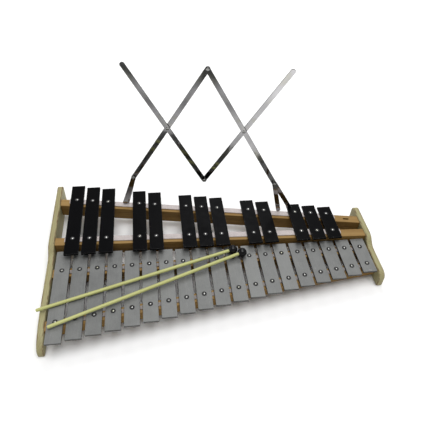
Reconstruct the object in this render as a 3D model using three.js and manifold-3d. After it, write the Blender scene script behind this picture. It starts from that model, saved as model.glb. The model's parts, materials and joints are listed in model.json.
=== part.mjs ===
// A thirty-two note bell kit, sold as a practice xylophone: two rows of tuned metal bars nailed over felted
// rails between two wooden end boards, with a folding music stand on the rear rail and two ball mallets.
// Millimetres. X runs from the low notes to the high notes, Y to the rear, Z up.
// The working origin is under the tenth natural bar, on the floor, at its rear nail; the group is then
// shifted so that the whole object's box is centred on X and Y and stands on Z = 0.
import * as THREE from "three";
import { mergeVertices } from "three/addons/utils/BufferGeometryUtils.js";
import Module from "manifold-3d";

const wasm = await Module();
wasm.setup();

const GAP = 0.3; // between pieces that touch

// Bars
const PITCH = 30;
const BAR_WIDTH = 25.4;
const BAR_THICK = 4;
const BAR_HOLE_RADIUS = 2.2;
const NATURAL_TOP = 36.2;
const ACCIDENTAL_TOP = 50.3;
const NATURAL_NAMES = "F G A B C D E".split(" ");
const NATURAL_COUNT = 19;
const MIDDLE_NATURAL = 10;
const NATURALS_WITH_A_SHARP = "F G A C D".split(" ");
const LOWEST_OCTAVE = 5;
const OCTAVE_CHANGES_AT = "C";

// Plan lines: Y as a function of X, for the bars' ends, the nails and the rails.
const line = (offset, slope) => (x) => offset + slope * x;
const HALF_ROW = ((NATURAL_COUNT - 1) / 2) * PITCH;
const naturalRearEnd = (x) => 24.3 + 15 * ((HALF_ROW - x) / (2 * HALF_ROW)) ** 3;
const naturalFrontEnd = line(-100.5, 0.172);
const naturalRearNail = line(0, 0.017);
const naturalFrontNail = line(-71.6, 0.135);
const accidentalRearEnd = line(147.5, -0.206);
const accidentalFrontEnd = line(19, 0);
const accidentalRearNail = line(118, -0.16);
const accidentalFrontNail = line(46.7, -0.038);
const accidentalRearRail = line(114.3, -0.164);
const accidentalFrontRail = line(45.3, -0.0415);

// Nails, each with a rubber washer under its head
const SHANK_RADIUS = 1.2;
const WASHER_RADIUS = 4.2;
const WASHER_THICK = 0.5;
const HEAD_RISE = 1;
const SHANK_IN_WOOD = 3;

// Rails and felt
const RAIL_WIDTH = 18;
const NATURAL_RAIL_DEPTH = 19;
const ACCIDENTAL_RAIL_DEPTH = 26;
const NATURAL_FELT_WIDTH = 7;
const ACCIDENTAL_FELT_WIDTH = 12;
const FELT_THICK = 2;
const FELT_HOLE_RADIUS = 1.6;
const NATURAL_FELT_END = 284;
const ACCIDENTAL_FELT_LEFT = 270;
const ACCIDENTAL_FELT_RIGHT = 241;
const SLOT = { x: 263, length: 11, width: 3.2, depth: 6 };

// End boards
const BOARD_INNER = 287.5;
const BOARD_THICK = 11;
const BOARD_HIGH = 44.5;
const BOARD_LOW = 31;
const LEFT_BOARD = { rear: 213, stepRear: 56, stepFront: 22, front: -147, noseLength: 70, noseFall: 23 };
const RIGHT_BOARD = { rear: 105, stepRear: 33, stepFront: 0, front: -61, noseLength: 14, noseFall: 13 };
const REAR_ROUND = 9;
const FOOT_ROUND = 3;

// Music stand: four strips in two layers make a lazy-tongs, and four short legs hold it up.
const STRIP_WIDTH = 8.5;
const STRIP_THICK = 1.4;
const LAYER = STRIP_THICK + GAP;
const STAND_ANGLE = THREE.MathUtils.degToRad(30.3);
const STAND_YAW = THREE.MathUtils.degToRad(-8);
const STAND_CENTRE = { x: -14.2, y: 123, z: 228, along: 3 };
const RHOMBUS_SIDE = 129;
const UPPER_ARM = 131;
const LOWER_ARM = 131;
const RIVET_RADIUS = 1.5;
const RIVET_HOLE_RADIUS = 1.64;
const RIVET_HEAD_RADIUS = 3;
const RIVET_HEAD_RISE = 1;
const LEFT_FEET = [{ along: -149.5 }, { along: -145.5 }];
const RIGHT_FEET = [{ along: 149.5 }, { along: 171, onBar: true }];

// Mallets
const STICK_RADIUS = 3;
const BALL_RADIUS = 8.5;
const BALL_BORE_DEPTH = 9;
const MALLETS = [
  { name: "a", head: [30.6, 10.2], tail: [-302, -87.9], tailLift: 0 },
  { name: "b", head: [46.3, 1.9], tail: [-280, -121.2], tailLift: 1.3 },
];

// Colour, roughness and metalness of each material
const LOOKS = {
  satinAluminium: [0x96989d, 0.38, 0.9],
  blackBar: [0x17171a, 0.35, 0.5],
  pine: [0xb98f58, 0.7, 0],
  paleWood: [0xb6b187, 0.65, 0],
  felt: [0xd6cac6, 0.95, 0],
  chrome: [0x9d9d9f, 0.2, 1],
  paleStick: [0xc6c983, 0.6, 0],
  blackGloss: [0x0c0c0e, 0.12, 0],
};

const group = new THREE.Group();

function addMesh(name, geometry, look) {
  const [color, roughness, metalness] = LOOKS[look];
  const material = new THREE.MeshStandardMaterial({ color, roughness, metalness });
  const mesh = new THREE.Mesh(geometry, material);
  mesh.name = name;
  group.add(mesh);
  return mesh;
}

// Booleans
function solidOf(geometry) {
  const bare = geometry.clone();
  bare.deleteAttribute("normal");
  bare.deleteAttribute("uv");
  const merged = mergeVertices(bare, 1e-4);
  return new wasm.Manifold(
    new wasm.Mesh({
      numProp: 3,
      vertProperties: merged.attributes.position.array,
      triVerts: new Uint32Array(merged.index.array),
    }),
  );
}

function geometryOf(solid) {
  const mesh = solid.getMesh();
  const geometry = new THREE.BufferGeometry();
  geometry.setAttribute("position", new THREE.BufferAttribute(mesh.vertProperties, 3));
  geometry.setIndex(new THREE.BufferAttribute(mesh.triVerts, 1));
  geometry.computeVertexNormals();
  return geometry;
}

// Shapes
function outline(points) {
  return new THREE.Shape(points.map(([x, y]) => new THREE.Vector2(x, y)));
}

function punch(shape, x, y, radius, sides) {
  const points = [];
  for (let i = 0; i < sides; i++) {
    const angle = (-2 * Math.PI * i) / sides;
    points.push(new THREE.Vector2(x + radius * Math.cos(angle), y + radius * Math.sin(angle)));
  }
  shape.holes.push(new THREE.Path(points));
}

function slab(shape, bottom, thick, curveSegments = 12) {
  const geometry = new THREE.ExtrudeGeometry(shape, {
    depth: thick,
    bevelEnabled: false,
    curveSegments,
  });
  return geometry.translate(0, 0, bottom);
}

// Bars
function barGeometry(x, front, rear, nails, top) {
  const left = x - BAR_WIDTH / 2;
  const right = x + BAR_WIDTH / 2;
  const shape = outline([[left, front], [right, front], [right, rear], [left, rear]]);
  for (const y of nails) punch(shape, x, y, BAR_HOLE_RADIUS, 8);
  return slab(shape, top - BAR_THICK, BAR_THICK);
}

const naturalXs = [];
const accidentalXs = [];
let octave = LOWEST_OCTAVE;
for (let i = 0; i < NATURAL_COUNT; i++) {
  const letter = NATURAL_NAMES[i % NATURAL_NAMES.length];
  if (letter === OCTAVE_CHANGES_AT) octave += 1;
  const x = (i + 1 - MIDDLE_NATURAL) * PITCH;
  const nails = [naturalFrontNail(x), naturalRearNail(x)];
  const bar = barGeometry(x, naturalFrontEnd(x), naturalRearEnd(x), nails, NATURAL_TOP);
  addMesh(`bar_${letter}${octave}`, bar, "satinAluminium");
  naturalXs.push(x);
  if (i === NATURAL_COUNT - 1 || !NATURALS_WITH_A_SHARP.includes(letter)) continue;
  const sharpX = x + PITCH / 2;
  const sharpNails = [accidentalFrontNail(sharpX), accidentalRearNail(sharpX)];
  const ends = [accidentalFrontEnd(sharpX), accidentalRearEnd(sharpX)];
  const sharp = barGeometry(sharpX, ...ends, sharpNails, ACCIDENTAL_TOP);
  addMesh(`bar_${letter}s${octave}`, sharp, "blackBar");
  accidentalXs.push(sharpX);
}

// Rails: a slanted plank, its row of nails standing up through the felt and the bars, and the felt itself.
function nailGeometry(x, y, woodTop, barTop) {
  const washerBottom = barTop + GAP;
  const washerTop = washerBottom + WASHER_THICK;
  const profile = [
    [0, woodTop - SHANK_IN_WOOD],
    [SHANK_RADIUS, woodTop - SHANK_IN_WOOD],
    [SHANK_RADIUS, washerBottom],
    [WASHER_RADIUS, washerBottom],
    [WASHER_RADIUS, washerTop],
    [0, washerTop + HEAD_RISE],
  ];
  const lathe = new THREE.LatheGeometry(profile.map(([r, z]) => new THREE.Vector2(r, z)), 8);
  return lathe.rotateX(Math.PI / 2).translate(x, y, 0);
}

function plankShape(centre, width, left, right) {
  const half = width / 2;
  return outline([
    [left, centre(left) - half],
    [right, centre(right) - half],
    [right, centre(right) + half],
    [left, centre(left) + half],
  ]);
}

function addRail(name, centre, depth, xs, nailLine, barTop, feltWidth, feltCentre, feltEnds, slot) {
  const feltTop = barTop - BAR_THICK - GAP;
  const woodTop = feltTop - FELT_THICK - GAP;
  const end = BOARD_INNER - GAP;
  const plank = plankShape(centre, RAIL_WIDTH, -end, end);
  let solid = solidOf(slab(plank, woodTop - depth, depth));
  for (const x of xs) solid = solid.add(solidOf(nailGeometry(x, nailLine(x), woodTop, barTop)));
  if (slot) {
    const cut = new THREE.BoxGeometry(slot.length, slot.width, 2 * slot.depth);
    cut.translate(slot.x, centre(slot.x), woodTop);
    solid = solid.subtract(solidOf(cut));
  }
  addMesh(`rail_${name}`, geometryOf(solid), "pine");
  const felt = plankShape(feltCentre, feltWidth, ...feltEnds);
  for (const x of xs) punch(felt, x, nailLine(x), FELT_HOLE_RADIUS, 6);
  addMesh(`felt_${name}`, slab(felt, feltTop - FELT_THICK, FELT_THICK), "felt");
}

const towardsRear = (centre) => (x) => centre(x) + (RAIL_WIDTH - ACCIDENTAL_FELT_WIDTH) / 2;
const naturalFelt = [-NATURAL_FELT_END, NATURAL_FELT_END];
const accidentalFelt = [-ACCIDENTAL_FELT_LEFT, ACCIDENTAL_FELT_RIGHT];
addRail("natural_front", naturalFrontNail, NATURAL_RAIL_DEPTH, naturalXs, naturalFrontNail,
  NATURAL_TOP, NATURAL_FELT_WIDTH, naturalFrontNail, naturalFelt);
addRail("natural_rear", naturalRearNail, NATURAL_RAIL_DEPTH, naturalXs, naturalRearNail,
  NATURAL_TOP, NATURAL_FELT_WIDTH, naturalRearNail, naturalFelt);
addRail("accidental_front", accidentalFrontRail, ACCIDENTAL_RAIL_DEPTH, accidentalXs,
  accidentalFrontNail, ACCIDENTAL_TOP, ACCIDENTAL_FELT_WIDTH, towardsRear(accidentalFrontRail), accidentalFelt);
addRail("accidental_rear", accidentalRearRail, ACCIDENTAL_RAIL_DEPTH, accidentalXs,
  accidentalRearNail, ACCIDENTAL_TOP, ACCIDENTAL_FELT_WIDTH, towardsRear(accidentalRearRail), accidentalFelt,
  SLOT);

// End boards: high beside the accidentals, a double curve down, low beside the naturals.
function boardGeometry({ rear, stepRear, stepFront, front, noseLength, noseFall }) {
  const stepMiddle = (stepRear + stepFront) / 2;
  const shape = new THREE.Shape();
  shape.moveTo(front + FOOT_ROUND, 0);
  shape.lineTo(rear - FOOT_ROUND, 0);
  shape.absarc(rear - FOOT_ROUND, FOOT_ROUND, FOOT_ROUND, -Math.PI / 2, 0);
  shape.absarc(rear - REAR_ROUND, BOARD_HIGH - REAR_ROUND, REAR_ROUND, 0, Math.PI / 2);
  shape.lineTo(stepRear, BOARD_HIGH);
  shape.bezierCurveTo(stepMiddle, BOARD_HIGH, stepMiddle, BOARD_LOW, stepFront, BOARD_LOW);
  shape.lineTo(front + noseLength, BOARD_LOW);
  shape.bezierCurveTo(front + noseLength / 2, BOARD_LOW - noseFall / 20,
    front, BOARD_LOW - noseFall / 4, front, BOARD_LOW - noseFall);
  shape.absarc(front + FOOT_ROUND, FOOT_ROUND, FOOT_ROUND, Math.PI, 1.5 * Math.PI);
  const board = slab(shape, 0, BOARD_THICK);
  // The outline was drawn in X and Y: turn its X to the frame's Y, its Y to Z, and the thickness to X.
  const turn = new THREE.Matrix4().makeBasis(
    new THREE.Vector3(0, 1, 0),
    new THREE.Vector3(0, 0, 1),
    new THREE.Vector3(1, 0, 0),
  );
  return board.applyMatrix4(turn);
}

const leftBoard = addMesh("end_board_left", boardGeometry(LEFT_BOARD), "paleWood");
leftBoard.position.x = -BOARD_INNER - BOARD_THICK;
const rightBoard = addMesh("end_board_right", boardGeometry(RIGHT_BOARD), "paleWood");
rightBoard.position.x = BOARD_INNER;

// Music stand. Its own plane stands upright and turned by STAND_YAW: "along" runs to the right in the
// plane, "up" is Z, and layers count towards the rear from the front strips.
const along = new THREE.Vector3(Math.cos(STAND_YAW), Math.sin(STAND_YAW), 0);
const up = new THREE.Vector3(0, 0, 1);
const toRear = new THREE.Vector3().crossVectors(up, along);
const standOrigin = new THREE.Vector3(STAND_CENTRE.x, STAND_CENTRE.y, 0);
const standMatrix = new THREE.Matrix4()
  .makeBasis(along, up, toRear.clone().negate())
  .setPosition(standOrigin);

const halfAlong = RHOMBUS_SIDE * Math.sin(STAND_ANGLE);
const halfUp = RHOMBUS_SIDE * Math.cos(STAND_ANGLE);
const point = (a, u) => new THREE.Vector2(STAND_CENTRE.along + a, STAND_CENTRE.z + u);
const direction = (side) => new THREE.Vector2(side * Math.sin(STAND_ANGLE), Math.cos(STAND_ANGLE));
const leftCross = point(-halfAlong, 0);
const rightCross = point(halfAlong, 0);
const apex = point(0, halfUp);
const bottom = point(0, -halfUp);
const upperLeft = leftCross.clone().addScaledVector(direction(-1), UPPER_ARM);
const upperRight = rightCross.clone().addScaledVector(direction(1), UPPER_ARM);
const lowerLeft = leftCross.clone().addScaledVector(direction(1), -LOWER_ARM);
const lowerRight = rightCross.clone().addScaledVector(direction(-1), -LOWER_ARM);

// A flat strip from one point to another in the stand's plane, round at both ends, punched at each hole.
function addStrip(name, from, to, layer, holes) {
  const half = STRIP_WIDTH / 2;
  const angle = Math.atan2(to.y - from.y, to.x - from.x);
  const shape = new THREE.Shape();
  shape.absarc(to.x, to.y, half, angle - Math.PI / 2, angle + Math.PI / 2);
  shape.absarc(from.x, from.y, half, angle + Math.PI / 2, angle + 1.5 * Math.PI);
  for (const hole of holes) punch(shape, hole.x, hole.y, RIVET_HOLE_RADIUS, 12);
  const strip = slab(shape, -layer * LAYER - STRIP_THICK / 2, STRIP_THICK, 6);
  addMesh(`stand_${name}`, strip.applyMatrix4(standMatrix), "chrome");
}

addStrip("strip_low_left", apex, lowerLeft, 1, [apex, leftCross, lowerLeft]);
addStrip("strip_high_left", bottom, upperLeft, 0, [bottom, leftCross]);
addStrip("strip_low_right", apex, lowerRight, 0, [apex, rightCross, lowerRight]);
addStrip("strip_high_right", bottom, upperRight, 1, [bottom, rightCross]);

// Legs: each foot rests on the rear rail's felt, or on the bar beside it.
const feltTop = ACCIDENTAL_TOP - BAR_THICK - GAP;
const footPoint = (foot) => {
  const rest = foot.onBar ? ACCIDENTAL_TOP : feltTop;
  return new THREE.Vector2(foot.along, rest + GAP + STRIP_WIDTH / 2);
};
LEFT_FEET.forEach((foot, i) => {
  addStrip(`leg_left_${i + 1}`, lowerLeft, footPoint(foot), 2 * i, [lowerLeft]);
});
RIGHT_FEET.forEach((foot, i) => {
  addStrip(`leg_right_${i + 1}`, lowerRight, footPoint(foot), 2 * i - 1, [lowerRight]);
});

// A rivet through the layers from first to last, with a low head at each end.
function addRivet(name, at, first, last) {
  const front = -first * LAYER + STRIP_THICK / 2 + GAP / 2;
  const rear = -last * LAYER - STRIP_THICK / 2 - GAP / 2;
  const rim = RIVET_HEAD_RADIUS * 0.6;
  const profile = [
    [0, rear - RIVET_HEAD_RISE],
    [rim, rear - RIVET_HEAD_RISE],
    [RIVET_HEAD_RADIUS, rear],
    [RIVET_RADIUS, rear],
    [RIVET_RADIUS, front],
    [RIVET_HEAD_RADIUS, front],
    [rim, front + RIVET_HEAD_RISE],
    [0, front + RIVET_HEAD_RISE],
  ];
  const lathe = new THREE.LatheGeometry(profile.map(([r, z]) => new THREE.Vector2(r, z)), 12);
  lathe.rotateX(Math.PI / 2).translate(at.x, at.y, 0);
  addMesh(`stand_rivet_${name}`, lathe.applyMatrix4(standMatrix), "chrome");
}

addRivet("apex", apex, 0, 1);
addRivet("bottom", bottom, 0, 1);
addRivet("cross_left", leftCross, 0, 1);
addRivet("cross_right", rightCross, 0, 1);
addRivet("foot_left", lowerLeft, 0, 2);
addRivet("foot_right", lowerRight, -1, 1);

// Mallets: each ball rests on the naturals and the stick slopes down to its tail over the low notes.
for (const { name, head, tail, tailLift } of MALLETS) {
  const centre = new THREE.Vector3(...head, NATURAL_TOP + BALL_RADIUS + GAP);
  const end = new THREE.Vector3(...tail, NATURAL_TOP + STICK_RADIUS + GAP + tailLift);
  const axis = centre.clone().sub(end).normalize();
  const turn = new THREE.Quaternion().setFromUnitVectors(new THREE.Vector3(0, 1, 0), axis);
  const pose = new THREE.Matrix4().compose(centre, turn, new THREE.Vector3(1, 1, 1));
  const length = centre.distanceTo(end);
  const inBall = -(BALL_RADIUS - BALL_BORE_DEPTH);

  const ball = new THREE.SphereGeometry(BALL_RADIUS, 20, 14);
  const boreLength = 2 * BALL_BORE_DEPTH;
  const bore = new THREE.CylinderGeometry(STICK_RADIUS + GAP, STICK_RADIUS + GAP, boreLength, 16);
  bore.translate(0, inBall - boreLength / 2, 0);
  const head3d = geometryOf(solidOf(ball).subtract(solidOf(bore)));
  addMesh(`mallet_${name}_head`, head3d.applyMatrix4(pose), "blackGloss");

  const top = inBall - GAP;
  const round = STICK_RADIUS * 0.35;
  const profile = [
    [0, -length],
    [STICK_RADIUS - round, -length],
    [STICK_RADIUS, -length + round],
    [STICK_RADIUS, top],
    [0, top],
  ];
  const stick = new THREE.LatheGeometry(profile.map(([r, y]) => new THREE.Vector2(r, y)), 12);
  addMesh(`mallet_${name}_stick`, stick.applyMatrix4(pose), "paleStick");
}

// Stand the whole object on Z = 0, centred on X and Y.
group.updateMatrixWorld(true);
const box = new THREE.Box3().setFromObject(group, true);
const centre = box.getCenter(new THREE.Vector3());
group.position.set(-centre.x, -centre.y, -box.min.z);

export default group;
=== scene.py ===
"""Looks of the thirty-two note bell kit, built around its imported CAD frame. Metres, in the row's frame.

Every piece takes its place from the CAD nodes that it stands for: the bars, the nails through them, the
felted rails, the end boards, the folding music stand and the two mallets.
"""

import json
import math
import random

import bmesh
import bpy
from mathutils import Matrix, Vector, noise


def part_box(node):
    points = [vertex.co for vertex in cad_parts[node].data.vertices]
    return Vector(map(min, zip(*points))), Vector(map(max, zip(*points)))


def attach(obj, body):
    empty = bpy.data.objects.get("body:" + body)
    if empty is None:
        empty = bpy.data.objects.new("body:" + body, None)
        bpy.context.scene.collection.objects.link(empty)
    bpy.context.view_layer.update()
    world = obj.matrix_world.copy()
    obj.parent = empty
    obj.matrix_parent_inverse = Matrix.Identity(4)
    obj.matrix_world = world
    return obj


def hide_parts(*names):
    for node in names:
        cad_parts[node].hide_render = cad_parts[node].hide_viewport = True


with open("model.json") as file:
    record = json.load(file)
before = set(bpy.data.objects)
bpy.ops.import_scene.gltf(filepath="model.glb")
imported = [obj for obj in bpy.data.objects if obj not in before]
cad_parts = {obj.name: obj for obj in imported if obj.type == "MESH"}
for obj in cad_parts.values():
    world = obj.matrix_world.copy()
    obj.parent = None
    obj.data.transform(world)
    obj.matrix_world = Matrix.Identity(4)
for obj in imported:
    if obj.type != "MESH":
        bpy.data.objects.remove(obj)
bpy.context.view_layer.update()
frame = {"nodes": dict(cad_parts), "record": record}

MM = 0.001
CLOSE = 0.1 * MM
QUARTER = math.pi / 2
UP = Vector((0, 0, 1))
UNMOVED = Matrix.Identity(4)

NODES = frame["nodes"]
NODE_BODY = {n: body for body, nodes in frame["record"]["behaviour"]["bodies"].items() for n in nodes}
BARS = sorted(n for n in NODES if n.startswith("bar_"))
MIDDLE_BAR = "bar_A6"
RAILS = ("natural_front", "natural_rear", "accidental_front", "accidental_rear")
RIVETS = sorted(n for n in NODES if n.startswith("stand_rivet_"))
STRIPS = sorted(n for n in NODES if n.startswith("stand_") and not n.startswith("stand_rivet_"))

# What the CAD's boxes don't say by themselves: holes by their radius, and the slot's place from the working
# origin, where Y follows the slanting middle line of the rear rail
CLEARANCE = 0.3 * MM
BAR_HOLE = 2.2 * MM
RIVET_HOLE = 1.64 * MM
RAIL_WIDTH = 18 * MM
REAR_END_FROM_ORIGIN = 26.175 * MM
SLOT_X = 263 * MM
SLOT_Y = 114.3 * MM - 0.164 * SLOT_X

random.seed(32)


# ---------------------------------------------------------------- geometry

HOLE_STEPS = 14


def place(name, mesh, matrix=UNMOVED):
    """An object of a mesh that was drawn in a frame of its own, moved where the matrix says.

    Its looks still read the mesh's own coordinates, which the attribute "own" keeps.
    """
    layer = mesh.attributes.new("own", "FLOAT_VECTOR", "POINT")
    layer.data.foreach_set("vector", [c for v in mesh.vertices for c in v.co])
    mesh.transform(matrix)
    piece = bpy.data.objects.new(name, mesh)
    bpy.context.scene.collection.objects.link(piece)
    return piece


def dress(piece, looks, body, nodes=()):
    """The looks, the body and the CAD nodes of one piece."""
    for look in looks:
        piece.data.materials.append(look)
    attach(piece, body)
    if nodes:
        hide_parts(*nodes)


def mesh_of(bm, name, smooth=True, sharp_angle=None):
    """A mesh from the bmesh, with its coinciding corners joined and its faces pointing out."""
    bmesh.ops.remove_doubles(bm, verts=bm.verts, dist=1e-7)
    bmesh.ops.recalc_face_normals(bm, faces=bm.faces)
    mesh = bpy.data.meshes.new(name)
    bm.to_mesh(mesh)
    bm.free()
    if smooth:
        mesh.polygons.foreach_set("use_smooth", [True] * len(mesh.polygons))
    if sharp_angle is not None:
        mesh.set_sharp_from_angle(angle=math.radians(sharp_angle))
    return mesh


def set_number(mesh, value, name="tone"):
    """One number for the whole piece, which its look reads to tell it from its neighbours."""
    layer = mesh.attributes.new(name, "FLOAT", "POINT")
    layer.data.foreach_set("value", [value] * len(mesh.vertices))


def second_look_on_sides(mesh):
    """The upright faces take the piece's second look, a darker one that paints shade on them."""
    for face in mesh.polygons:
        face.material_index = 1 if abs(face.normal.z) < 0.5 else 0


def soften_edges(piece, width, segments=3, look=-1, harden=True):
    """Rounds the sharp edges over.

    look is the index of the rounds' own look, or -1 where they take the look of the faces beside them.
    """
    bevel = piece.modifiers.new("edges", "BEVEL")
    bevel.width = width
    bevel.segments = segments
    bevel.limit_method = "ANGLE"
    bevel.angle_limit = math.radians(40)
    bevel.material = look
    bevel.harden_normals = harden


def cut(mesh, cutter_mesh, rim=0.0):
    """The mesh without the cutter's shape, with its own edges rounded over first by the rim."""
    whole, cutter = (bpy.data.objects.new(n, m) for n, m in (("whole", mesh), ("cutter", cutter_mesh)))
    for solid in (whole, cutter):
        bpy.context.scene.collection.objects.link(solid)
    if rim:
        soften_edges(whole, rim, segments=5, harden=False)
    difference = whole.modifiers.new("cut", "BOOLEAN")
    difference.operation = "DIFFERENCE"
    difference.solver = "EXACT"
    difference.object = cutter
    graph = bpy.context.evaluated_depsgraph_get()
    made = bpy.data.meshes.new_from_object(whole.evaluated_get(graph))
    for solid in (whole, cutter):
        bpy.data.objects.remove(solid)
    return made


def sweep(start, end, steps):
    """The values from start to end in equal steps, both of them included."""
    return [start + (end - start) * i / steps for i in range(steps + 1)]


def arc(x, y, radius, start, end, steps):
    """Points on a circle's arc round (x, y), from one angle to another, in degrees."""
    angles = [math.radians(a) for a in sweep(start, end, steps)]
    return [(x + radius * math.cos(a), y + radius * math.sin(a)) for a in angles]


def plate(name, half_outline, holes, low, high):
    """A flat plate, symmetric about its local X axis, with round holes on that axis.

    half_outline runs from the axis at the high-X end, over +Y, to the axis at the low-X end. Each hole is a
    place on the axis and a radius.
    """
    bm = bmesh.new()
    known = {}

    def vertex(x, y):
        key = (round(x, 7), round(y, 7))
        if key not in known:
            known[key] = bm.verts.new((x, y, high))
        return known[key]

    along_axis = []
    for x, radius in sorted(holes):
        along_axis += arc(x, 0, radius, 180, 0, HOLE_STEPS)
    points = [(half_outline[-1][0], 0)] + along_axis + list(half_outline)
    for side in (1, -1):
        ring = list(dict.fromkeys(vertex(x, side * y if abs(y) > 1e-9 else 0) for x, y in points))
        bm.faces.new(ring if side == -1 else ring[::-1])
    made = bmesh.ops.extrude_face_region(bm, geom=list(bm.faces))
    lower = [g for g in made["geom"] if isinstance(g, bmesh.types.BMVert)]
    bmesh.ops.translate(bm, vec=(0, 0, low - high), verts=lower)
    return mesh_of(bm, name)


def round_ended(length, width, steps):
    """Half the outline of a strip with round ends, as plate() takes it."""
    end = arc((length - width) / 2, 0, width / 2, 0, 90, steps)
    return end + [(-x, y) for x, y in reversed(end)]


def bridge(bm, rings):
    """Faces from each ring of corners to the next one. A ring of one corner closes an end."""
    count = max(len(ring) for ring in rings)
    for near, far in zip(rings, rings[1:]):
        for i in range(count):
            j = (i + 1) % count
            corners = (near[i % len(near)], near[j % len(near)], far[j % len(far)], far[i % len(far)])
            unique = list(dict.fromkeys(corners))
            if len(unique) > 2:
                bm.faces.new(unique)


def lathe(profile, sides, bm=None, matrix=UNMOVED):
    """Turns (radius, height) points round local Z. A radius of nothing closes an end."""
    bm = bm or bmesh.new()
    rings = []
    for radius, height in profile:
        count = sides if radius > 1e-8 else 1
        angles = [2 * math.pi * i / count for i in range(count)]
        points = [Vector((radius * math.cos(a), radius * math.sin(a), height)) for a in angles]
        rings.append([bm.verts.new(matrix @ point) for point in points])
    bridge(bm, rings)
    return bm


def dome(radius, base, rise, steps):
    """A round cap's profile from its rim to its top."""
    rim = [(radius * math.cos(t), base + rise * math.sin(t)) for t in sweep(0, QUARTER, steps)[:-1]]
    return rim + [(0, base + rise)]


def hexahedron(corners):
    """A block from four corners of its underside and four of its top, in the same order."""
    bm = bmesh.new()
    verts = [bm.verts.new(c) for c in corners]
    bm.faces.new(verts[:4][::-1])
    bm.faces.new(verts[4:])
    for i in range(4):
        j = (i + 1) % 4
        bm.faces.new((verts[i], verts[j], verts[4 + j], verts[4 + i]))
    return bm


def axes(x_axis, z_axis, at):
    """A matrix with these local X and Z directions."""
    x_axis = x_axis.normalized()
    y_axis = z_axis.cross(x_axis).normalized()
    z_axis = x_axis.cross(y_axis)
    turn = Matrix((x_axis, y_axis, z_axis)).transposed().to_4x4()
    return Matrix.Translation(at) @ turn


# ---------------------------------------------------------------- places in the frame

# Within this of a bar's middle line it has no corners but its holes'
NEAR_MIDDLE_LINE = 4 * MM


def corners_of(node):
    """The corners of a node's CAD mesh."""
    return [v.co.copy() for v in NODES[node].data.vertices]


def middle(node):
    """The middle of a node's box."""
    low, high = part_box(node)
    return (low + high) / 2


def y_span(points, x):
    """The lowest and the highest y of the points at that x."""
    ys = [p.y for p in points if abs(p.x - x) < CLOSE]
    return min(ys), max(ys)


def working_origin():
    """The point on the floor under the middle bar's rear nail."""
    _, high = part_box(MIDDLE_BAR)
    return Vector((middle(MIDDLE_BAR).x, high.y - REAR_END_FROM_ORIGIN, 0))


def is_sharp(bar):
    """Whether a bar is one of the raised black ones, such as bar_Fs5."""
    return "s" in bar.removeprefix("bar_")


def bars_on(rail):
    """The bars that a rail carries."""
    return [bar for bar in BARS if is_sharp(bar) != rail.startswith("natural")]


def nail_places(bar):
    """The two holes of a bar, front first, as (x, y). The widest gap along its middle lies between them."""
    centre_x = middle(bar).x
    ys = sorted(v.y for v in corners_of(bar) if abs(v.x - centre_x) < NEAR_MIDDLE_LINE)
    split = max(range(len(ys) - 1), key=lambda i: ys[i + 1] - ys[i])
    groups = (ys[: split + 1], ys[split + 1:])
    return [(centre_x, (g[0] + g[-1]) / 2) for g in groups]


def rail_ends(rail):
    """The middle of the rail's underside at its left and right ends."""
    points = corners_of(f"rail_{rail}")
    floor_z = min(p.z for p in points)
    under = [p for p in points if p.z < floor_z + CLOSE]
    ends = []
    for pick in (min, max):
        x = pick(p.x for p in under)
        ends.append(Vector((x, sum(y_span(under, x)) / 2, floor_z)))
    return ends


def rail_top(rail):
    """How high a rail's wood reaches, under its felt."""
    felt_low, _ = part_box(f"felt_{rail}")
    return felt_low.z - CLEARANCE


# ---------------------------------------------------------------- shader nodes

# How far apart in a texture two bars read, for each whole step between their tones
BARS_APART = 40


def new_look(name):
    """A material, its node tree and its shader."""
    look = bpy.data.materials.new(name)
    look.use_nodes = True
    tree = look.node_tree
    return look, tree, tree.nodes["Principled BSDF"]


def add(tree, kind, inputs=None, **settings):
    """A node with its settings, and with each input linked to a socket or given a value."""
    made = tree.nodes.new(kind)
    for key, value in settings.items():
        setattr(made, key, value)
    for key, value in (inputs or {}).items():
        if isinstance(value, bpy.types.NodeSocket):
            tree.links.new(value, made.inputs[key])
        else:
            made.inputs[key].default_value = value
    return made


def piece_number(tree, name="tone"):
    """The number that set_number() gave the piece, or nothing where it gave none."""
    return add(tree, "ShaderNodeAttribute", attribute_name=name).outputs["Fac"]


def maths(tree, a, b, operation):
    """One number worked out from two, each a socket or a number."""
    return add(tree, "ShaderNodeMath", {0: a, 1: b}, operation=operation).outputs[0]


def times(tree, a, b):
    """The product of two numbers."""
    return maths(tree, a, b, "MULTIPLY")


def add_up(tree, first, *others):
    """The sum of several numbers."""
    for other in others:
        first = maths(tree, first, other, "ADD")
    return first


def shifted(tree, vector, by):
    """A vector moved on by another one, or by one number along all three axes."""
    return add(tree, "ShaderNodeVectorMath", {0: vector, 1: by}, operation="ADD").outputs["Vector"]


def local(tree, scale=(1, 1, 1), rotation=(0, 0, 0), location=(0, 0, 0), apart=0):
    """The piece's own coordinates. Pieces of another tone read another place, that much apart."""
    coords = add(tree, "ShaderNodeAttribute", attribute_name="own").outputs["Vector"]
    if apart:
        coords = shifted(tree, coords, times(tree, piece_number(tree), apart))
    made = add(tree, "ShaderNodeMapping", {
        "Vector": coords, "Scale": scale, "Rotation": rotation, "Location": location,
    })
    return made.outputs["Vector"]


def speckle(tree, vector, scale, detail, roughness=0.55):
    """Soft noise, with about as many spots to the metre as the scale says."""
    made = add(tree, "ShaderNodeTexNoise", {
        "Vector": vector, "Scale": scale, "Detail": detail, "Roughness": roughness,
    })
    return made.outputs["Fac"]


def cell_edges(tree, vector):
    """The distance to the edge of the nearest cell, for thin lines that cross each other."""
    made = add(tree, "ShaderNodeTexVoronoi", {"Vector": vector, "Scale": 1.0}, feature="DISTANCE_TO_EDGE")
    return made.outputs["Distance"]


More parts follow.
